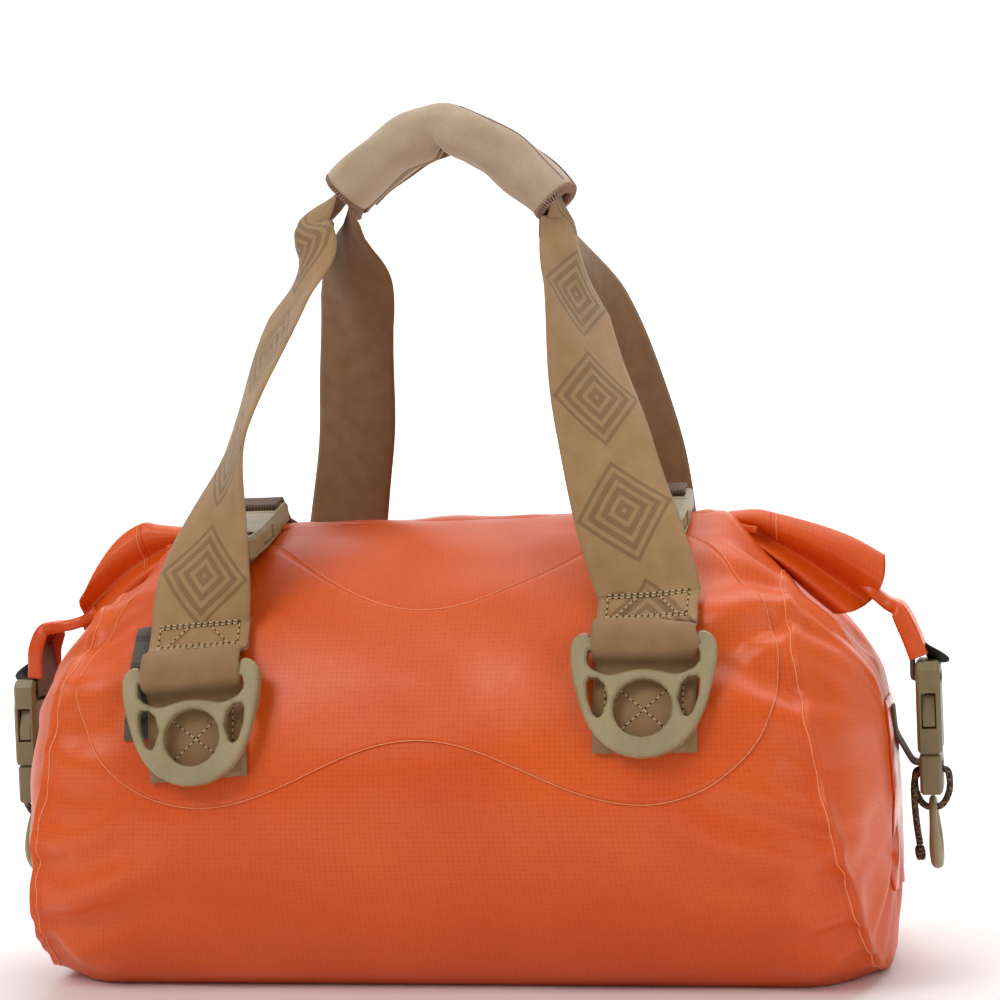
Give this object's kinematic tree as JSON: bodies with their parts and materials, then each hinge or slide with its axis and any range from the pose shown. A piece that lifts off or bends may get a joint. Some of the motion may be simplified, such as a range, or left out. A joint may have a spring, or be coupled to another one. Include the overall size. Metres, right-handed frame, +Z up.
{
  "type": "waterproof duffel bag",
  "caption": "Roll-top coated-cloth duffel bag with webbing hand straps, a padded wrap, moulded carrying rings, side-release buckles and end rings.",
  "frame": {"origin": "centre of the bag's footprint, on the surface it stands on", "axes": "+X along the bag to its right end, +Y to its back, +Z up"},
  "size_m": [0.5044, 0.2567, 0.452],
  "materials": {
    "coated_cloth": "semi-gloss coated ripstop",
    "closure_rail": "matte",
    "webbing": "woven twill",
    "brown_tape": "ribbed tape",
    "moulded_plastic": "satin moulded",
    "padded_wrap": "matte foam-backed knit",
    "black_tip": "matte",
    "braided_cord": "braided",
    "woven_label": "woven"
  },
  "bodies": {
    "bag": {"body_wrap": "coated_cloth", "end_panel_left": "coated_cloth", "end_panel_right": "coated_cloth", "end_patch_left": "coated_cloth", "end_patch_right": "coated_cloth", "front_patch": "coated_cloth", "back_patch": "coated_cloth", "throat": "coated_cloth", "closure_rail_front": "closure_rail", "closure_rail_back": "closure_rail", "woven_label": "woven_label", "lash_cord_right": "braided_cord", "lash_knot_right": "braided_cord", "ring_keeper_front_left": "webbing", "ring_keeper_front_right": "webbing", "ring_keeper_back_left": "webbing", "ring_keeper_back_right": "webbing", "left_end_buckle_male": "moulded_plastic", "left_top_buckle_female": "moulded_plastic", "end_anchor_left": "brown_tape", "ring_loop_left": "braided_cord", "top_anchor_left": "brown_tape", "right_end_buckle_male": "moulded_plastic", "right_top_buckle_female": "moulded_plastic", "end_anchor_right": "brown_tape", "ring_loop_right": "braided_cord", "top_anchor_right": "brown_tape"},
    "hand_grip": {"handle_wrap": "padded_wrap", "handle_strap_front": "webbing", "handle_strap_back": "webbing"},
    "carrying_ring_front_left": {"d_ring_front_left": "moulded_plastic"},
    "carrying_ring_front_right": {"d_ring_front_right": "moulded_plastic"},
    "carrying_ring_back_left": {"d_ring_back_left": "moulded_plastic"},
    "carrying_ring_back_right": {"d_ring_back_right": "moulded_plastic"},
    "left_end_ring": {"end_ring_left": "moulded_plastic"},
    "left_end_clip": {"left_end_buckle_female": "moulded_plastic", "tab_tape_left": "brown_tape", "closure_tab_left": "coated_cloth", "tab_stiffener_left": "black_tip"},
    "left_top_clip": {"left_top_buckle_male": "moulded_plastic", "top_strap_left": "brown_tape"},
    "left_end_prong_a": {"left_end_buckle_prong_a": "moulded_plastic"},
    "left_end_prong_b": {"left_end_buckle_prong_b": "moulded_plastic"},
    "left_top_prong_a": {"left_top_buckle_prong_a": "moulded_plastic"},
    "left_top_prong_b": {"left_top_buckle_prong_b": "moulded_plastic"},
    "right_end_ring": {"end_ring_right": "moulded_plastic"},
    "right_end_clip": {"right_end_buckle_female": "moulded_plastic", "tab_tape_right": "brown_tape", "closure_tab_right": "coated_cloth", "tab_stiffener_right": "black_tip"},
    "right_top_clip": {"right_top_buckle_male": "moulded_plastic", "top_strap_right": "brown_tape"},
    "right_end_prong_a": {"right_end_buckle_prong_a": "moulded_plastic"},
    "right_end_prong_b": {"right_end_buckle_prong_b": "moulded_plastic"},
    "right_top_prong_a": {"right_top_buckle_prong_a": "moulded_plastic"},
    "right_top_prong_b": {"right_top_buckle_prong_b": "moulded_plastic"}
  },
  "joints": [
    {"name": "handle_lean", "type": "hinge", "parent": "bag", "child": "hand_grip", "pos_m": [0, 0, 0.19], "axis": [1, 0, 0], "range_deg": [-12, 12], "deforming": ["handle_strap_front", "handle_strap_back"]},
    {"name": "front_left_ring_swing", "type": "hinge", "parent": "bag", "child": "carrying_ring_front_left", "pos_m": [-0.1125, -0.11074, 0.16564], "axis": [-0.9976, -0.0193, -0.067], "range_deg": [0, 120]},
    {"name": "front_right_ring_swing", "type": "hinge", "parent": "bag", "child": "carrying_ring_front_right", "pos_m": [0.1125, -0.10516, 0.17544], "axis": [-1, 0, 0], "range_deg": [0, 120]},
    {"name": "back_left_ring_swing", "type": "hinge", "parent": "bag", "child": "carrying_ring_back_left", "pos_m": [-0.09, 0.10776, 0.17108], "axis": [1, 0, 0], "range_deg": [0, 120]},
    {"name": "back_right_ring_swing", "type": "hinge", "parent": "bag", "child": "carrying_ring_back_right", "pos_m": [0.09, 0.10776, 0.17108], "axis": [1, 0, 0], "range_deg": [0, 120]},
    {"name": "left_end_ring_swing", "type": "hinge", "parent": "bag", "child": "left_end_ring", "pos_m": [-0.2415, 0, 0.0838], "axis": [0, 1, 0], "range_deg": [-3, 80]},
    {"name": "left_end_unclip", "type": "slide", "parent": "bag", "child": "left_end_clip", "axis": [0, 0, 1], "range_m": [0, 0.036], "deforming": ["closure_tab_left", "tab_tape_left", "left_end_buckle_prong_a", "left_end_buckle_prong_b"]},
    {"name": "left_top_unclip", "type": "slide", "parent": "bag", "child": "left_top_clip", "axis": [0, 0.9659, 0.2588], "range_m": [0, 0.036], "deforming": ["top_strap_left", "left_top_buckle_prong_a", "left_top_buckle_prong_b"]},
    {"name": "left_end_prong_a_press", "type": "hinge", "parent": "bag", "child": "left_end_prong_a", "pos_m": [-0.2415, -0.0105, 0.11], "axis": [-1, 0, 0], "range_deg": [0, 8], "stiffness_Nm_per_rad": 0.5},
    {"name": "left_end_prong_b_press", "type": "hinge", "parent": "bag", "child": "left_end_prong_b", "pos_m": [-0.2415, 0.0105, 0.11], "axis": [1, 0, 0], "range_deg": [0, 8], "stiffness_Nm_per_rad": 0.5},
    {"name": "left_top_prong_a_press", "type": "hinge", "parent": "left_top_clip", "child": "left_top_prong_a", "pos_m": [-0.0985, -0.01847, 0.23544], "axis": [0, 0.2588, -0.9659], "range_deg": [0, 8], "stiffness_Nm_per_rad": 0.5},
    {"name": "left_top_prong_b_press", "type": "hinge", "parent": "left_top_clip", "child": "left_top_prong_b", "pos_m": [-0.1195, -0.01847, 0.23544], "axis": [0, -0.2588, 0.9659], "range_deg": [0, 8], "stiffness_Nm_per_rad": 0.5},
    {"name": "right_end_ring_swing", "type": "hinge", "parent": "bag", "child": "right_end_ring", "pos_m": [0.2415, 0, 0.0838], "axis": [0, -1, 0], "range_deg": [-3, 80]},
    {"name": "right_end_unclip", "type": "slide", "parent": "bag", "child": "right_end_clip", "axis": [0, 0, 1], "range_m": [0, 0.036], "deforming": ["closure_tab_right", "tab_tape_right", "right_end_buckle_prong_a", "right_end_buckle_prong_b"]},
    {"name": "right_top_unclip", "type": "slide", "parent": "bag", "child": "right_top_clip", "axis": [0, 0.9659, 0.2588], "range_m": [0, 0.036], "deforming": ["top_strap_right", "right_top_buckle_prong_a", "right_top_buckle_prong_b"]},
    {"name": "right_end_prong_a_press", "type": "hinge", "parent": "bag", "child": "right_end_prong_a", "pos_m": [0.2415, 0.0105, 0.11], "axis": [1, 0, 0], "range_deg": [0, 8], "stiffness_Nm_per_rad": 0.5},
    {"name": "right_end_prong_b_press", "type": "hinge", "parent": "bag", "child": "right_end_prong_b", "pos_m": [0.2415, -0.0105, 0.11], "axis": [-1, 0, 0], "range_deg": [0, 8], "stiffness_Nm_per_rad": 0.5},
    {"name": "right_top_prong_a_press", "type": "hinge", "parent": "right_top_clip", "child": "right_top_prong_a", "pos_m": [0.1195, -0.01847, 0.23544], "axis": [0, 0.2588, -0.9659], "range_deg": [0, 8], "stiffness_Nm_per_rad": 0.5},
    {"name": "right_top_prong_b_press", "type": "hinge", "parent": "right_top_clip", "child": "right_top_prong_b", "pos_m": [0.0985, -0.01847, 0.23544], "axis": [0, -0.2588, 0.9659], "range_deg": [0, 8], "stiffness_Nm_per_rad": 0.5}
  ]
}
